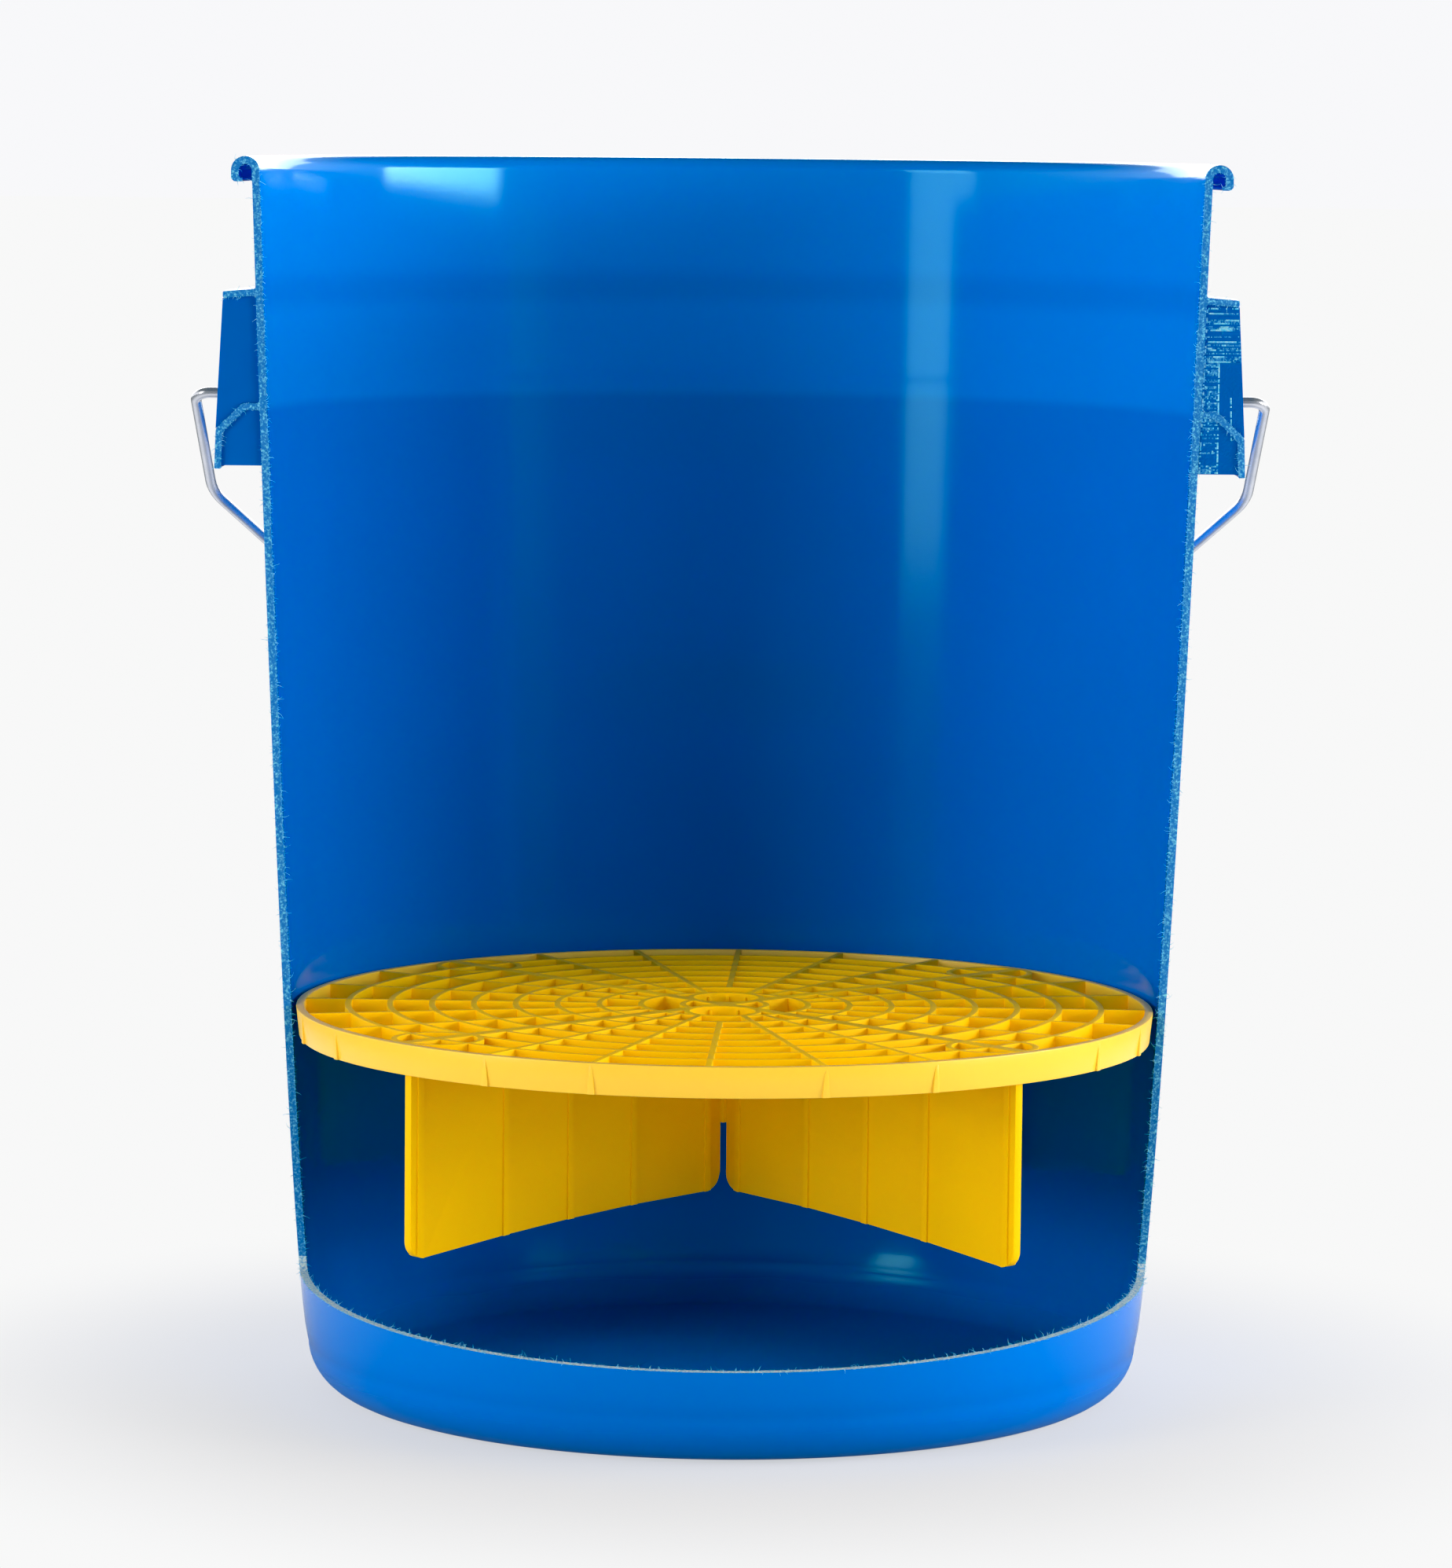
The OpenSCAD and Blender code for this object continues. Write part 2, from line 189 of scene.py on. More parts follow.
sheet = put(tree, "ShaderNodeMixShader", {
    0: path.outputs["Is Camera Ray"], 1: lit.outputs[0], 2: shown.outputs[0]})
put(tree, "ShaderNodeOutputMaterial", {"Surface": sheet.outputs[0]})
sweep.data.materials.append(paper)


# ---------------------------------------------------------------- pail
# One injection moulding in blue polyethylene: floor, wall, rolled rim, handle flange and
# stacking band. Its front was cut out with a saw, which left pale, rough, hairy edges.

def rounded(corners, steps=4):
    """The points of an outline given as corners (r, z, rounding)."""
    points = []
    for k, (r, z, rounding) in enumerate(corners):
        here = Vector((r, z))
        if not rounding:
            points.append(here)
            continue
        back = (Vector(corners[k - 1][:2]) - here).normalized()
        on = (Vector(corners[(k + 1) % len(corners)][:2]) - here).normalized()
        half = back.angle(on) / 2
        centre = here + (back + on).normalized() * rounding / math.sin(half)
        first = here + back * rounding / math.tan(half) - centre
        last = here + on * rounding / math.tan(half) - centre
        for j in range(steps + 1):
            points.append(centre + first.lerp(last, j / steps).normalized() * rounding)
    return points


def arc(centre, radius, start, end, steps):
    """Points round a centre from one angle to another, in degrees."""
    angles = [math.radians(start + (end - start) * j / steps) for j in range(steps + 1)]
    return [(centre[0] + radius * math.cos(a), centre[1] + radius * math.sin(a), 0) for a in angles]


def only(obj):
    """Makes obj the one selected and active object."""
    bpy.ops.object.select_all(action="DESELECT")
    obj.select_set(True)
    bpy.context.view_layer.objects.active = obj


def lathe(name, outline, steps):
    """Spins a closed outline of points (r, z) once round the Z axis."""
    bpy.ops.object.select_all(action="DESELECT")
    bpy.ops.mesh.primitive_circle_add(vertices=len(outline), radius=1)
    turned = bpy.context.object
    turned.name = name
    for vertex, (r, z) in zip(turned.data.vertices, outline):
        vertex.co = (r, 0, z)
    bpy.ops.object.mode_set(mode="EDIT")
    bpy.ops.mesh.select_all(action="SELECT")
    bpy.ops.mesh.spin(steps=steps, angle=2 * math.pi, center=(0, 0, 0), axis=(0, 0, 1))
    bpy.ops.mesh.select_all(action="SELECT")
    bpy.ops.mesh.remove_doubles(threshold=0.01 * mm)
    bpy.ops.mesh.delete_loose()
    bpy.ops.mesh.select_all(action="SELECT")
    bpy.ops.mesh.normals_make_consistent(inside=False)
    bpy.ops.object.mode_set(mode="OBJECT")
    return turned


rim_low, rim_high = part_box("rim_curl")
rim_r, pail_h = rim_high.x, rim_high.z
flange_r, flange_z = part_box("handle_flange")[1].x, 331.7 * mm
skirt_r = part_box("stacking_band")[1].x
skirt_z, shelf_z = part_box("stacking_band")[0].z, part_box("stacking_band")[1].z
wall_t = 2.3 * mm
band_t = 2 * mm
heel_r, heel_round, wall_top_r = 126 * mm, 15 * mm, 143.8 * mm
floor_edge_z = 3.2 * mm
rim_round = (rim_r - wall_top_r + wall_t) / 2
rim_z = pail_h - rim_round
rim_x = rim_r - rim_round


def wall_r(z):
    """Outer radius of the wall at a height."""
    share = max(0, z - heel_round) / (rim_z - heel_round)
    return heel_r + (wall_top_r - heel_r) * share ** (2 / 3)


def wall_points(low, high, count, inset=0):
    """Points up the wall between two heights."""
    heights = [low + (high - low) * (k / count) ** 1.3 for k in range(count + 1)]
    return [(wall_r(z) - inset, z, 0) for z in heights]


def sink(z):
    """How far the inside has sunk in opposite the flange and the shelf, where the plastic is thick."""
    spots = [(flange_z - band_t / 2, 0.22 * mm), (shelf_z - band_t / 2, 0.25 * mm)]
    return sum(depth * math.exp(-((z - at) / (3.2 * mm)) ** 2) for at, depth in spots)


underside = [(0, 0, 0)]
for groove_r in (24 * mm, 60 * mm, 88 * mm):
    underside += [(groove_r, 0, 0.2 * mm), (groove_r + 0.3 * mm, 0.5 * mm, 0.1 * mm),
                  (groove_r + 1.2 * mm, 0.5 * mm, 0.1 * mm), (groove_r + 1.5 * mm, 0, 0.2 * mm)]
outside = arc((heel_r - heel_round, heel_round), heel_round, -90, 0, 12)
outside += wall_points(heel_round + 0.5 * mm, shelf_z - band_t - 1.5 * mm, 24)
z = shelf_z - band_t
outside += [
    (wall_r(z), z, 0.8 * mm), (skirt_r - 9.3 * mm, z, 1.5 * mm),
    (skirt_r - band_t - 0.4 * mm, shelf_z - 8.6 * mm, 2 * mm), (skirt_r - band_t, skirt_z, 0.4 * mm),
    (skirt_r, skirt_z, 0.4 * mm), (skirt_r - 0.4 * mm, shelf_z - 7.7 * mm, 2 * mm),
    (skirt_r - 8.4 * mm, shelf_z, 1.5 * mm), (wall_r(shelf_z), shelf_z, 0.8 * mm),
]
outside += wall_points(shelf_z + 2 * mm, flange_z - band_t - 1.5 * mm, 4)
z = flange_z + 0.8 * mm
outside += [
    (wall_r(z - band_t), z - band_t, 0.7 * mm), (flange_r, flange_z - band_t, 0.5 * mm),
    (flange_r, flange_z, 0.5 * mm), (wall_r(z), z, 0.7 * mm),
]
outside += wall_points(z + 2 * mm, rim_z - 0.5 * mm, 4)
rim_in = arc((rim_x, rim_z), rim_round - wall_t, 180, 0, 10)
leg = rim_r - wall_t
rim_lip = [
    (leg, rim_low.z + 1.1 * mm, 0.4 * mm), (leg - 1.1 * mm, rim_low.z + 1.2 * mm, 0.4 * mm),
    (leg - 1.1 * mm, rim_low.z, 0.4 * mm), (rim_r, rim_low.z, 1.4 * mm),
]
rim_out = arc((rim_x, rim_z), rim_round, 0, 180, 20)
heights = [rim_z - 0.5 * mm - (rim_z - heel_round - 1 * mm) * k / 70 for k in range(71)]
inside = [(wall_r(z) - wall_t + sink(z), z, 0) for z in heights]
heel_in = heel_round - floor_edge_z
inside += arc((heel_r - wall_t - heel_in, heel_round), heel_in, 0, -90, 12)
floor_z = floor_edge_z
for step_r in (88 * mm, 60 * mm, 25 * mm):
    inside += [(step_r + 0.5 * mm, floor_z, 0.3 * mm), (step_r - 0.5 * mm, floor_z + 0.4 * mm, 0.3 * mm)]
    floor_z += 0.4 * mm
inside += [(0, floor_z, 0)]
pail = lathe("pail_moulding", rounded(underside + outside + rim_in + rim_lip + rim_out + inside, 3), 288)

# The saw went down each side, turned a rounded corner and came round the front. Its teeth
# left a step at each stroke, so the cutting block's upright face is ridged from top to bottom.
saw = random.Random(11)
cut_y = -9 * mm
cut_front_z, cut_tilt, cut_corner = 28.6 * mm, math.radians(3.7), 8 * mm
block_y = -200 * mm


def cut_z(y):
    """Height of the low cut."""
    return cut_front_z + (y + heel_r) * math.tan(cut_tilt)


corner_y = cut_y - cut_corner
corner_z = cut_z(corner_y) + cut_corner / math.cos(cut_tilt)
bend = [(corner_y + cut_corner * math.cos(a), corner_z + cut_corner * math.sin(a))
        for a in [(cut_tilt - math.pi / 2) * (1 - k / 12) for k in range(13)]]
stroke = 0.9 * mm
climb = []
z = corner_z + stroke
while z < pail_h + 5 * mm:
    climb.append((cut_y + saw.uniform(-0.14, 0.14) * mm, z))
    z += stroke * saw.uniform(0.6, 1.5)
block_top = pail_h + 9 * mm
side_view = [(block_y, cut_z(block_y))] + bend + climb + [(cut_y, block_top), (block_y, block_top)]
bpy.ops.object.select_all(action="DESELECT")
bpy.ops.mesh.primitive_circle_add(vertices=len(side_view), radius=1, fill_type="NGON")
block = bpy.context.object
for vertex, (y, z) in zip(block.data.vertices, side_view):
    vertex.co = (-0.2, y, z)
bpy.ops.object.mode_set(mode="EDIT")
bpy.ops.mesh.select_all(action="SELECT")
bpy.ops.mesh.extrude_region_move(TRANSFORM_OT_translate={"value": (0.4, 0, 0)})
bpy.ops.mesh.select_all(action="SELECT")
bpy.ops.mesh.normals_make_consistent(inside=False)
bpy.ops.object.mode_set(mode="OBJECT")


def polyethylene(name, body, deep, roughness, grain_mm, grain_depth_mm, specular=0.4, painted_backlight=None,
                 tint=(1, 1, 1, 1), milky=0.2, worn=0.0):
    """Moulded polyethylene: a soft gloss over a milky body that lets some light through. The tool's surface
    leaves a faint grain, and the melt's flow a slow change of tone. A lighter colour, when given, is painted
    light on the wall above the band, as light shining through it, with painted shade close by the flange;
    worn is how much duller the floor is."""
    made = bpy.data.materials.new(name)
    made.use_nodes = True
    tree = made.node_tree
    tree.nodes.clear()
    spot = put(tree, "ShaderNodeTexCoord").outputs["Object"]
    height = put(tree, "ShaderNodeSeparateXYZ", {"Vector": spot}).outputs["Z"]
    flow = put(tree, "ShaderNodeTexNoise", {"Vector": spot, "Scale": 1 / (45 * mm), "Detail": 3.0})
    tone = put(tree, "ShaderNodeMix", {0: flow.outputs["Fac"], 6: linear(deep), 7: linear(body)},
               data_type="RGBA")
    # Painted light: above the shelf the wall is painted a lighter blue, as light shining through it, and
    # within a few millimetres of the flange less so, as painted flange shade. Below the shelf it keeps the
    # darker blue, a painted shadow of the skirt.
    if painted_backlight:
        above = put(tree, "ShaderNodeMapRange", {0: height, 1: shelf_z - 4 * mm, 2: shelf_z},
                    interpolation_type="SMOOTHSTEP")
        off = put(tree, "ShaderNodeMath", {0: height, 1: flange_z - 1 * mm}, operation="SUBTRACT")
        off = put(tree, "ShaderNodeMath", {0: off.outputs[0]}, operation="ABSOLUTE")
        clear = put(tree, "ShaderNodeMapRange", {0: off.outputs[0], 1: 1 * mm, 2: 8 * mm, 3: 0.45, 4: 1.0},
                    interpolation_type="SMOOTHSTEP")
        share = put(tree, "ShaderNodeMath", {0: above.outputs[0], 1: clear.outputs[0]},
                    operation="MULTIPLY")
        tone = put(tree, "ShaderNodeMix", {0: share.outputs[0], 6: tone.outputs[2], 7: linear(painted_backlight)},
                   data_type="RGBA")
    grain = put(tree, "ShaderNodeTexNoise", {"Vector": spot, "Scale": 1 / (grain_mm * mm), "Detail": 4.0})
    relief = put(tree, "ShaderNodeBump", {"Height": grain.outputs["Fac"], "Strength": 0.5,
                                          "Distance": grain_depth_mm * mm})
    gloss = put(tree, "ShaderNodeMapRange", {
        0: flow.outputs["Fac"], 3: roughness - 0.04, 4: roughness + 0.05})
    foot = put(tree, "ShaderNodeMapRange", {0: height, 1: 5 * mm, 2: 20 * mm, 3: worn, 4: 0.0})
    gloss = put(tree, "ShaderNodeMath", {0: gloss.outputs[0], 1: foot.outputs[0]}, operation="ADD")
    surface = put(tree, "ShaderNodeBsdfPrincipled", {
        "Base Color": tone.outputs[2], "Roughness": gloss.outputs[0], "Normal": relief.outputs[0],
        "IOR": 1.53, "Specular IOR Level": specular, "Specular Tint": tint, "Subsurface Weight": milky,
        "Subsurface Radius": (0.3, 0.6, 1.0), "Subsurface Scale": 2.5 * mm})
    put(tree, "ShaderNodeOutputMaterial", {"Surface": surface.outputs[0]})
    return made


def sawn(name, body, pale, low, high):
    """Sawn polyethylene: the teeth smear and whiten it, so it is rough, streaky and paler. low
    and high are the parts of the crumb pattern where the pale colour begins and is full."""
    made = bpy.data.materials.new(name)
    made.use_nodes = True
    tree = made.node_tree
    tree.nodes.clear()
    spot = put(tree, "ShaderNodeTexCoord").outputs["Object"]
    crumbs = put(tree, "ShaderNodeTexNoise", {"Vector": spot, "Scale": 1 / (0.8 * mm), "Detail": 6.0,
                                              "Roughness": 0.75})
    spread = put(tree, "ShaderNodeMapRange", {0: crumbs.outputs["Fac"], 1: low, 2: high})
    tone = put(tree, "ShaderNodeMix", {0: spread.outputs[0], 6: linear(body), 7: linear(pale)},
               data_type="RGBA")
    relief = put(tree, "ShaderNodeBump", {"Height": crumbs.outputs["Fac"], "Strength": 1.0,
                                          "Distance": 0.35 * mm})
    surface = put(tree, "ShaderNodeBsdfPrincipled", {
        "Base Color": tone.outputs[2], "Roughness": 0.45, "Normal": relief.outputs[0], "IOR": 1.53,
        "Specular IOR Level": 0.4, "Subsurface Weight": 0.2, "Subsurface Radius": (0.3, 0.6, 1.0),
        "Subsurface Scale": 1.5 * mm})
    put(tree, "ShaderNodeOutputMaterial", {"Surface": surface.outputs[0]})
    return made


# The pail's blue carries painted light: a lighter blue above the shelf, as light shining through the wall,
# with painted shade by the flange.
blue_moulded = polyethylene("moulded_blue_polyethylene", "#0078E2", "#0074DC", 0.1, 1.4, 0.02, 0.5,
                            painted_backlight="#0087EB", tint=(0.25, 0.95, 1, 1), milky=0.35, worn=0.25)
# A darker copy of the blue, painted shade for the ears, which stand in shade and are not lit through from
# behind.
blue_painted_shade = polyethylene("painted_shade_blue_polyethylene", "#0060BE", "#005CB8", 0.2, 1.4, 0.02,
                          tint=(0.25, 0.95, 1, 1))
blue_sawn = sawn("sawn_blue_polyethylene", "#0A78CC", "#86E8FF", 0.5, 0.64)
blue_sawn_level = sawn("sawn_pale_polyethylene", "#4CB4F2", "#E8FAFF", 0.4, 0.58)
blue_shaving = sawn("shaved_blue_polyethylene", "#2CBAF4", "#B4F0FF", 0.4, 0.65)

pail.data.materials.append(blue_moulded)
pail.data.materials.append(blue_sawn)
pail.data.materials.append(blue_sawn_level)
block.data.materials.append(blue_moulded)
block.data.materials.append(blue_sawn)
block.data.materials.append(blue_sawn_level)
for face in block.data.polygons:
    face.material_index = 2 if face.normal.z < -0.5 else 1
only(pail)
cut = pail.modifiers.new("saw_cut", "BOOLEAN")
cut.operation = "DIFFERENCE"
cut.object = block
cut.solver = "EXACT"
cut.material_mode = "INDEX"
bpy.ops.object.modifier_apply(modifier=cut.name)
bpy.data.objects.remove(block)
bpy.ops.object.shade_smooth_by_angle(angle=math.radians(32))
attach(pail, "pail")
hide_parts("pail_floor", "pail_heel", "pail_wall", "rim_curl", "handle_flange", "stacking_band")

# Fine curls of plastic still hang from the sawn edges, thickest along the inner one.
curls = []
for length, lean in ((0.16, 0.06), (0.22, 0.11), (0.3, 0.2), (0.42, 0.3)):
    bpy.ops.object.select_all(action="DESELECT")
    bpy.ops.mesh.primitive_circle_add(vertices=4, radius=0.1 * mm, fill_type="NGON")
    curl = bpy.context.object
    bpy.ops.object.mode_set(mode="EDIT")
    bpy.ops.mesh.select_all(action="SELECT")
    for k in range(4):
        step = (lean * k * mm / 2, 0, length * mm)
        bpy.ops.mesh.extrude_region_move(TRANSFORM_OT_translate={"value": step})
        bpy.ops.transform.resize(value=(0.72, 0.72, 1))
    bpy.ops.mesh.select_all(action="SELECT")
    bpy.ops.mesh.normals_make_consistent(inside=False)
    bpy.ops.object.mode_set(mode="OBJECT")
    curls.append(curl)


def ends(edge):
    """The two ends of an edge, in an order that depends only on where they are."""
    return sorted(tuple(vertex.co) for vertex in edge.verts)


# The cut leaves its edges in no fixed order, so they are taken by place, and every run is the same.
shape = bmesh.new()
shape.from_mesh(pail.data)
fringe = bmesh.new()
for edge in sorted(shape.edges, key=ends):
    kinds = sorted((face.material_index, face.index) for face in edge.link_faces)
    if len(kinds) != 2 or kinds[0][0] != 0 or kinds[1][0] == 0:
        continue
    skin, cut_face = sorted(edge.link_faces, key=lambda face: face.material_index)
    first, last = (Vector(end) for end in ends(edge))
    middle = (first + last) / 2
    inward = skin.normal.dot(Vector((middle.x, middle.y, 0))) < 0
    spacing = (0.6 if inward else 1.6) * mm
    if cut_face.material_index == 2:
        spacing = 0.7 * mm
    count = int(edge.calc_length() / spacing + saw.random())
    for k in range(count):
        at = first.lerp(last, saw.random())
        if at.z > pail_h - 0.8 * mm:
            continue
        way = skin.normal * saw.uniform(0.2, 1.0) + cut_face.normal * saw.uniform(0.1, 0.9)
        way += Vector([saw.uniform(-0.5, 0.5) for _ in range(3)])
        turn = way.to_track_quat("Z", "X").to_matrix().to_4x4()
        twist = Matrix.Rotation(saw.uniform(0, 2 * math.pi), 4, "Z")
        big = Matrix.Scale(saw.choice((0.4, 0.5, 0.6, 0.8, 1.0, 1.2)), 4)
        one = saw.choice(curls).data.copy()
        one.transform(Matrix.Translation(at - way.normalized() * 0.1 * mm) @ turn @ twist @ big)
        fringe.from_mesh(one)
        bpy.data.meshes.remove(one)
shape.free()
for curl in curls:
    bpy.data.objects.remove(curl)
burrs = bpy.data.objects.new("saw_burrs", bpy.data.meshes.new("saw_burrs"))
fringe.to_mesh(burrs.data)
fringe.free()
bpy.context.scene.collection.objects.link(burrs)
burrs.data.materials.append(blue_shaving)
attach(burrs, "pail")


# ---------------------------------------------------------------- bail ears
# Each ear is two webs and a face, moulded with the pail between the flange and the skirt, with
# a round hole in its face for the wire.

def moulded_copy(node, name, rounding, finish):
    """A CAD node's shape with its edges rounded as a mould leaves them."""
    piece = frame["nodes"][node].copy()
    piece.data = piece.data.copy()
    piece.name = name
    piece.parent = None
    del piece["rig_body"], piece["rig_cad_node"]
    bpy.context.scene.collection.objects.link(piece)
    only(piece)
    bpy.ops.mesh.customdata_custom_splitnormals_clear()
    bpy.ops.object.mode_set(mode="EDIT")
    bpy.ops.mesh.select_all(action="SELECT")
    bpy.ops.mesh.remove_doubles(threshold=0.002 * mm)
    bpy.ops.mesh.dissolve_limited(angle_limit=math.radians(0.6))
    bpy.ops.object.mode_set(mode="OBJECT")
    edges = piece.modifiers.new("rounded_edges", "BEVEL")
    edges.width = rounding
    edges.segments = 2
    edges.limit_method = "ANGLE"
    edges.angle_limit = math.radians(40)
    bpy.ops.object.modifier_apply(modifier=edges.name)
    bpy.ops.object.shade_smooth_by_angle(angle=math.radians(38))
    piece.data.materials.clear()
    piece.data.materials.append(finish)
    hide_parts(node)
    return piece


for side in ("left", "right"):
    # The ears take the darker blue, painted shade.
    ear = moulded_copy("ear_" + side, side + "_bail_ear", 0.35 * mm, blue_painted_shade)
    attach(ear, "pail")


# The saw ran down the front web of the right ear and tore it: stepped right across near the
# top, hatched beside the wall, and only scratched further out.
web_front = -8.3 * mm
scar_low, scar_high, torn_above, torn_beside = skirt_z + 1.2 * mm, flange_z - 2.2 * mm, 313 * mm, 0.42
ear_foot_x, ear_head_x = skirt_r - 0.3 * mm, flange_r - 0.2 * mm
bpy.ops.object.select_all(action="DESELECT")
bpy.ops.mesh.primitive_grid_add(x_subdivisions=26, y_subdivisions=100, size=1)
scars = bpy.context.object
scars.name = "saw_scars_right"
row_depth = [saw.choice((0.02, 0.08, 0.2, 0.34)) * mm for _ in range(101)]
row_start = [saw.uniform(0, 0.5) for _ in range(101)]
for vertex in scars.data.vertices:
    across, up = vertex.co.x + 0.5, vertex.co.y + 0.5
    z = scar_low + (scar_high - scar_low) * up
    row = round(up * 100)
    near_wall = wall_r(z) - 0.1 * mm
    edge_x = ear_foot_x + (ear_head_x - ear_foot_x) * up
    if z > torn_above:
        depth = row_depth[row] * (across > row_start[row]) + saw.uniform(0, 0.05) * mm
    elif across < torn_beside:
        depth = saw.uniform(0.1, 0.3) * mm
    else:
        depth = 0.12 * mm if saw.random() < 0.12 else 0.03 * mm
    vertex.co = (near_wall + (edge_x - near_wall) * across, web_front - 0.05 * mm - depth, z)
backing = scars.modifiers.new("backing", "SOLIDIFY")
backing.thickness = 0.3 * mm
backing.offset = -1
only(scars)
bpy.ops.object.modifier_apply(modifier=backing.name)
# The web's unmarked faces take the darker blue, painted shade.
scars.data.materials.append(blue_painted_shade)
scars.data.materials.append(blue_sawn)
scars.data.materials.append(blue_shaving)
marks = [(saw.random(), saw.uniform(0, 0.6), saw.uniform(0.5, 1)) for _ in range(101)]
scratches = [(saw.random(), saw.uniform(0, 0.5), saw.uniform(0.1, 0.4)) for _ in range(27)]
for face in scars.data.polygons:
    z, x = face.center.z, face.center.x
    up = (z - scar_low) / (scar_high - scar_low)
    near_wall = wall_r(z) - 0.1 * mm
    across = (x - near_wall) / (ear_foot_x + (ear_head_x - ear_foot_x) * up - near_wall)
    chance, start, stop = marks[min(100, max(0, int(up * 100)))]
    scratch, foot, run = scratches[min(26, max(0, int(across * 26)))]
    pale = (across < 0.04 or up > 0.985) and saw.random() < 0.5
    if z > torn_above:
        pale = pale or chance < 0.22 and start < across < stop
        pale = pale or chance < 0.4 and start < across < start + 0.12
        streak = chance < 0.45
    elif across < torn_beside:
        pale = pale or across > torn_beside - 0.05 and saw.random() < 0.7 or saw.random() < 0.04
        streak = chance < 0.5
    else:
        pale = pale or scratch < 0.3 and foot < up < foot + run and saw.random() < 0.6
        streak = False
    face.material_index = 2 if pale else 1 if streak and saw.random() < 0.7 else 0
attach(scars, "pail")


# ---------------------------------------------------------------- bail
# One length of bright zinc-plated steel wire, bent at six corners. Its straight ends turn in
# the holes of the ears.

wire_r = 1.6 * mm
pivot_z = 301 * mm
reach = 177 * mm
hang = math.radians(56.6)
corner_x = 161.2 * mm
knee = Vector((159.9 * mm, 59 * mm))
grip_corner = Vector((101.1 * mm, reach))


def wire_bend(centre, turn):
    """Carries the open end of the wire round a bend in the plane of the bail."""
    bpy.ops.mesh.spin(steps=max(4, round(abs(turn) / 5)), angle=math.radians(turn), center=(*centre, 0),
                      axis=(0, 0, -1))


def hung(obj):
    """Turns a piece that was drawn flat, with Y away from the pivot line, to where the bail hangs."""
    obj.data.transform(Matrix.Translation((0, 0, pivot_z)) @ Matrix.Rotation(hang - math.pi / 2, 4, "X"))


path = [(Vector((149.4 * mm, 0)), 0), (Vector((corner_x, 0)), 4.5 * mm), (knee, 30 * mm),
        (grip_corner, 88 * mm)]
path += [(Vector((-p.x, p.y)), bend_r) for p, bend_r in reversed(path)]
bpy.ops.object.select_all(action="DESELECT")
bpy.ops.mesh.primitive_circle_add(vertices=20, radius=wire_r, fill_type="NGON", location=(*path[0][0], 0),
                                  rotation=(0, math.pi / 2, 0))
wire = bpy.context.object
wire.name = "bail_wire_bent"
bpy.ops.object.transform_apply(location=True, rotation=True, scale=True)
bpy.ops.object.mode_set(mode="EDIT")
bpy.ops.mesh.select_all(action="SELECT")
here = path[0][0]
for k in range(1, len(path)):
    corner, bend_r = path[k]
    back = (path[k - 1][0] - corner).normalized()
    if k == len(path) - 1:
        stop = corner
    else:
        on = (path[k + 1][0] - corner).normalized()
        turn = math.degrees(math.pi - back.angle(on))
        stop = corner + back * bend_r * math.tan(math.radians(turn) / 2)
        centre = corner + (back + on).normalized() * bend_r / math.cos(math.radians(turn) / 2)
    bpy.ops.mesh.extrude_region_move(TRANSFORM_OT_translate={"value": (*(stop - here), 0)})
    if k < len(path) - 1:
        wire_bend(centre, turn)
        here = corner + on * bend_r * math.tan(math.radians(turn) / 2)
bpy.ops.mesh.select_all(action="SELECT")
bpy.ops.mesh.remove_doubles(threshold=0.01 * mm)
bpy.ops.mesh.normals_make_consistent(inside=False)
bpy.ops.object.mode_set(mode="OBJECT")
hung(wire)
bpy.ops.object.shade_smooth_by_angle(angle=math.radians(40))


def plated_steel(name):
    """Zinc-plated steel wire: bright and faintly blue, with cloudy patches of duller plating."""
    made = bpy.data.materials.new(name)
    made.use_nodes = True
    tree = made.node_tree
    tree.nodes.clear()
    spot = put(tree, "ShaderNodeTexCoord").outputs["Object"]
    cloud = put(tree, "ShaderNodeTexNoise", {"Vector": spot, "Scale": 1 / (9 * mm), "Detail": 5.0})
    tone = put(tree, "ShaderNodeMix", {0: cloud.outputs["Fac"], 6: linear("#B9BCC6"), 7: linear("#E8EAF0")},
               data_type="RGBA")
    rough = put(tree, "ShaderNodeMapRange", {0: cloud.outputs["Fac"], 3: 0.12, 4: 0.3})
    surface = put(tree, "ShaderNodeBsdfPrincipled", {
        "Base Color": tone.outputs[2], "Metallic": 0.75, "Roughness": rough.outputs[0]})
    put(tree, "ShaderNodeOutputMaterial", {"Surface": surface.outputs[0]})
    return made


bright_wire = plated_steel("zinc_plated_drawn_steel")
wire.data.materials.append(bright_wire)
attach(wire, "bail")
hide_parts("bail_wire", "bail_end_left", "bail_end_right")


# ---------------------------------------------------------------- grip
# A black polypropylene roller with turned-down grooves. The middle of the wire runs through its
# bore, so it spins freely.

grip_half, grip_r, bore_r = 45 * mm, 9.5 * mm, 1.68 * mm
groove_w, groove_depth, groove_pitch, groove_count = 3 * mm, 1.2 * mm, 13 * mm, 6
grip_outline = [(bore_r, -grip_half, 0.3 * mm), (grip_r - 1.5 * mm, -grip_half, 1 * mm),
                (grip_r, 1.5 * mm - grip_half, 0.6 * mm)]
for k in range(groove_count):
    at = (k - (groove_count - 1) / 2) * groove_pitch
    grip_outline += [
        (grip_r, at - groove_w / 2, 0.4 * mm), (grip_r - groove_depth, at - groove_w / 2, 0.4 * mm),
        (grip_r - groove_depth, at + groove_w / 2, 0.4 * mm), (grip_r, at + groove_w / 2, 0.4 * mm)]
grip_outline += [(grip_r, grip_half - 1.5 * mm, 0.6 * mm), (grip_r - 1.5 * mm, grip_half, 1 * mm),
                 (bore_r, grip_half, 0.3 * mm)]
grip = lathe("bail_roller_grip", rounded(grip_outline, 3), 64)
grip.data.transform(Matrix.Translation((0, reach, 0)) @ Matrix.Rotation(math.pi / 2, 4, "Y"))
hung(grip)
only(grip)
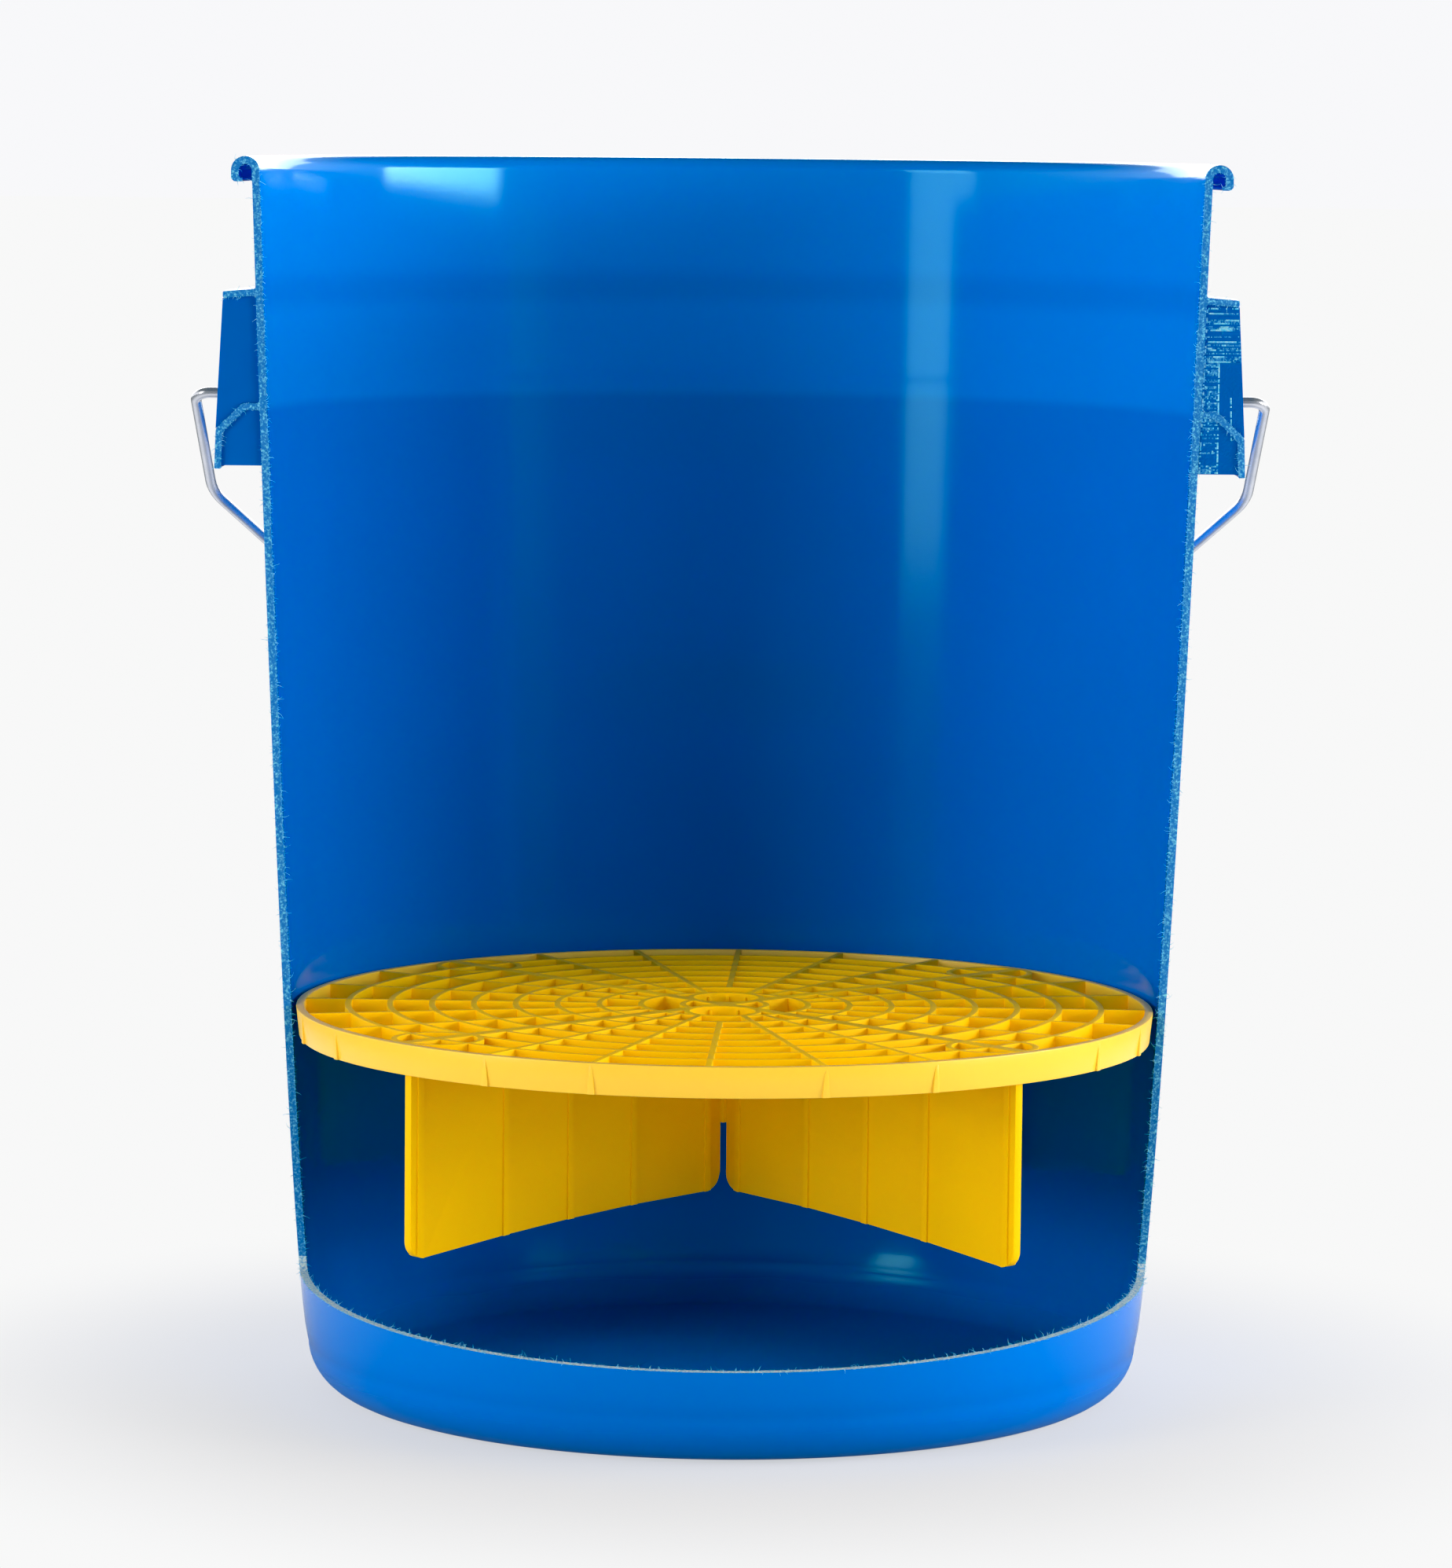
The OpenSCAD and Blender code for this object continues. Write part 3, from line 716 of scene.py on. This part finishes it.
bpy.ops.object.shade_smooth_by_angle(angle=math.radians(35))
black = polyethylene("moulded_black_polypropylene", "#1B1C1F", "#101113", 0.42, 0.6, 0.04)
grip.data.materials.append(black)
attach(grip, "grip")
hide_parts("bail_grip")


# ---------------------------------------------------------------- grit guard
# One yellow polyethylene moulding: a rim, a grid of rings and spokes, and four vanes under it.
# It drops into the pail and lifts out again.

yellow_moulded = polyethylene("moulded_yellow_polyethylene", "#FFC800", "#FCC100", 0.5, 0.8, 0.03, 0.06,
                              tint=(1, 0.85, 0.4, 1))
# The rim is glossier than the grid, and its yellow is paler: a painted sheen of the white surroundings
# reflected on it.
yellow_rim = polyethylene("glossy_yellow_polyethylene_painted_sheen", "#FFCE34", "#FFC928", 0.32, 0.8, 0.03, 0.5)
guard_parts = bpy.data.collections.new("guard_parts")
guard_light.light_linking.receiver_collection = guard_parts
grid_light.light_linking.receiver_collection = guard_parts
for node in frame["record"]["behaviour"]["bodies"]["guard"]:
    finish = yellow_rim if node == "guard_rim" else yellow_moulded
    piece = moulded_copy(node, "moulded_" + node, 0.3 * mm, finish)
    guard_parts.objects.link(piece)
    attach(piece, "guard")

# Where the thin spokes end, a small wedge on the rim's drafted outside takes the draft out.
rim_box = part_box("guard_rim")
guard_r, guard_top, rim_foot = rim_box[1].x, rim_box[1].z, rim_box[0].z
guard_turn = math.radians(-2)
grid_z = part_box("grid_front")[0].z


def guard_detail(name, blocks, finish):
    """Joins small blocks that are moulded on the guard into one piece."""
    only(blocks[0])
    for block in blocks:
        block.select_set(True)
    bpy.ops.object.join()
    joined = bpy.context.object
    joined.name = name
    edges = joined.modifiers.new("rounded_edges", "BEVEL")
    edges.width = 0.15 * mm
    edges.segments = 2
    bpy.ops.object.modifier_apply(modifier=edges.name)
    bpy.ops.object.shade_smooth_by_angle(angle=math.radians(38))
    joined.data.materials.append(finish)
    guard_parts.objects.link(joined)
    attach(joined, "guard")


wedges = []
for quarter in range(4):
    for spoke in (-30, -15, 15, 30):
        bpy.ops.object.select_all(action="DESELECT")
        bpy.ops.mesh.primitive_cube_add(size=1)
        wedge = bpy.context.object
        for vertex in wedge.data.vertices:
            out, side, up = (c > 0 for c in vertex.co)
            width = 0.9 * mm if up else 2.2 * mm
            vertex.co = (guard_r - (0.1 if up else 0.25) * mm if out else guard_r - 1.8 * mm,
                         width / 2 if side else -width / 2,
                         guard_top - 0.6 * mm if up else rim_foot + 0.1 * mm)
        wedge.data.transform(Matrix.Rotation(math.radians(90 * quarter + spoke) + guard_turn, 4, "Z"))
        wedges.append(wedge)
guard_detail("rim_wedges", wedges, yellow_rim)

# Small upright ribs stand in the two finger holes.
finger_y, finger_r, rib_h = 15 * mm, 9.9 * mm, guard_top - grid_z
ribs = []
for side, bearing in ((1, 55), (1, 90), (1, 125), (-1, 65), (-1, 115)):
    bpy.ops.object.select_all(action="DESELECT")
    bpy.ops.mesh.primitive_cube_add(size=1, location=(finger_r - 0.1 * mm, 0, grid_z + rib_h / 2 - 0.4 * mm),
                                    scale=(1.4 * mm, 0.9 * mm, rib_h - 1.2 * mm))
    rib = bpy.context.object
    bpy.ops.object.transform_apply(location=True, rotation=True, scale=True)
    around = Matrix.Rotation(math.radians(bearing), 4, "Z")
    to_hole = Matrix.Rotation(guard_turn, 4, "Z") @ Matrix.Translation((0, side * finger_y, 0))
    rib.data.transform(to_hole @ around)
    ribs.append(rib)
guard_detail("finger_hole_ribs", ribs, yellow_moulded)
